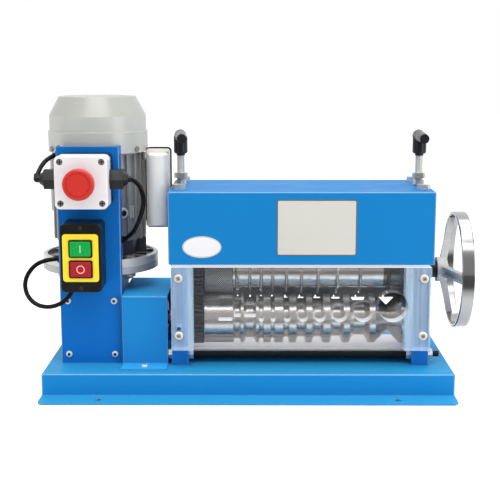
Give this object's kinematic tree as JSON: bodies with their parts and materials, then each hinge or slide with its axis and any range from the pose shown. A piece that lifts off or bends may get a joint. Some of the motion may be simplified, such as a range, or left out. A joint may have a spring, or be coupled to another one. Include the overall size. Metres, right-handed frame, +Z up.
{
  "type": "electric wire stripping machine",
  "caption": "Bench-top electric wire stripping machine: blue sheet base, clear feed panel with graded holes, grooved roller under a row of round blades, upright motor, hand wheel.",
  "frame": {"origin": "centre of the four base bolt holes, in the plane of the underside of the base", "axes": "+X from the motor side to the hand wheel side, +Y away from the operator (the feed side faces -Y), +Z up"},
  "size_m": [0.5972, 0.33, 0.3864],
  "materials": {
    "base_blue": "gloss paint",
    "hood_blue": "gloss paint",
    "frame_blue": "satin paint",
    "column_blue": "gloss paint",
    "cover_blue": "gloss paint",
    "tray_grey": "satin paint",
    "comb_blue": "satin paint",
    "zinc_steel": "zinc plated",
    "tool_steel": "ground and polished",
    "gear_steel": "oiled",
    "black_steel": "black oxide",
    "bronze": "machined",
    "chrome_rim": "polished",
    "cast_alloy": "as cast",
    "motor_grey": "satin paint",
    "cowl_grey": "satin paint",
    "cap_silver": "satin paint",
    "clear_plastic": "clear polished plastic",
    "black_plastic": "fine texture",
    "grey_plastic": "fine texture",
    "dark_rubber": "matte",
    "red_plastic": "gloss",
    "green_plastic": "gloss",
    "yellow_plate": "gloss",
    "stop_yellow": "gloss",
    "cable_black": "satin sheath"
  },
  "bodies": {
    "machine_frame": {"base_tray": "base_blue", "left_side_plate": "frame_blue", "right_side_plate": "frame_blue", "lower_bushes": "bronze", "hood": "hood_blue", "hood_bolts": "zinc_steel", "feed_panel": "clear_plastic", "feed_panel_screws": "zinc_steel", "tie_rods": "zinc_steel", "tie_rod_nuts": "zinc_steel", "tie_rod_sleeves": "dark_rubber", "discharge_tray": "tray_grey", "wire_comb": "comb_blue", "gearbox_housing": "cast_alloy", "coupling_cover": "cover_blue", "switch_column": "column_blue", "cable_grommets": "dark_rubber", "panel_screws": "zinc_steel", "estop_base": "black_plastic", "estop_cover": "black_plastic", "estop_screws": "zinc_steel", "switch_box": "black_plastic", "switch_screws": "black_steel", "switch_plate": "yellow_plate", "cable_glands": "grey_plastic", "elbow_gland": "grey_plastic", "cable_left": "cable_black", "cable_right": "cable_black", "cable_switch": "cable_black", "motor_flange": "cast_alloy", "flange_bolts": "zinc_steel", "motor_frame": "motor_grey", "cowl_screws": "zinc_steel", "fan_cowl": "cowl_grey", "terminal_box": "motor_grey", "capacitor_plate": "black_plastic", "capacitor_cover": "cap_silver"},
    "lower_rotor": {"lower_roller": "tool_steel", "lower_gear": "gear_steel", "shaft_coupling": "black_steel", "worm_wheel_shaft": "bronze"},
    "carriage": {"bearing_blocks": "black_steel", "upper_bushes": "bronze"},
    "upper_rotor": {"upper_shaft": "zinc_steel", "knurled_drum": "tool_steel", "upper_gear": "gear_steel", "blades": "tool_steel", "spacers": "tool_steel", "handwheel": "chrome_rim", "wheel_collar": "black_steel"},
    "motor_rotor_body": {"motor_rotor": "tool_steel", "motor_fan": "black_plastic"},
    "screw_left": {"adjusting_screw_left": "black_steel", "clamp_handle_left": "cast_alloy"},
    "screw_right": {"adjusting_screw_right": "black_steel", "clamp_handle_right": "cast_alloy"},
    "stop_head": {"estop_mushroom": "red_plastic", "estop_plunger": "black_plastic"},
    "start_key": {"start_button": "green_plastic"},
    "stop_key": {"stop_button": "red_plastic"}
  },
  "joints": [
    {"name": "lower_roller_turn", "type": "hinge", "parent": "machine_frame", "child": "lower_rotor", "pos_m": [0, -0.032, 0.084], "axis": [1, 0, 0], "continuous": true},
    {"name": "carriage_slide", "type": "slide", "parent": "machine_frame", "child": "carriage", "axis": [0, 0, 1], "range_m": [0, 0.003]},
    {"name": "upper_roller_turn", "type": "hinge", "parent": "carriage", "child": "upper_rotor", "pos_m": [0, -0.032, 0.152], "axis": [1, 0, 0], "continuous": true},
    {"name": "motor_turn", "type": "hinge", "parent": "machine_frame", "child": "motor_rotor_body", "pos_m": [-0.208, 0.006, 0.2], "axis": [0, 0, 1], "continuous": true},
    {"name": "left_screw_turn", "type": "hinge", "parent": "carriage", "child": "screw_left", "pos_m": [-0.0915, -0.032, 0.3], "axis": [0, 0, 1], "range_deg": [0, 720]},
    {"name": "right_screw_turn", "type": "hinge", "parent": "carriage", "child": "screw_right", "pos_m": [0.2305, -0.032, 0.3], "axis": [0, 0, 1], "range_deg": [0, 720]},
    {"name": "stop_head_push", "type": "slide", "parent": "machine_frame", "child": "stop_head", "axis": [0, 1, 0], "range_m": [0, 0.0035]},
    {"name": "start_key_push", "type": "slide", "parent": "machine_frame", "child": "start_key", "axis": [0, 1, 0], "range_m": [0, 0.0025], "stiffness_N_per_m": 400},
    {"name": "stop_key_push", "type": "slide", "parent": "machine_frame", "child": "stop_key", "axis": [0, 1, 0], "range_m": [0, 0.0025], "stiffness_N_per_m": 400}
  ],
  "couplings": [
    {"joint": "upper_roller_turn", "follows": "lower_roller_turn", "ratio": -1},
    {"joint": "motor_turn", "follows": "lower_roller_turn", "ratio": 15},
    {"joint": "left_screw_turn", "follows": "carriage_slide", "rad_per_m": 4188.8},
    {"joint": "right_screw_turn", "follows": "carriage_slide", "rad_per_m": 4188.8}
  ]
}
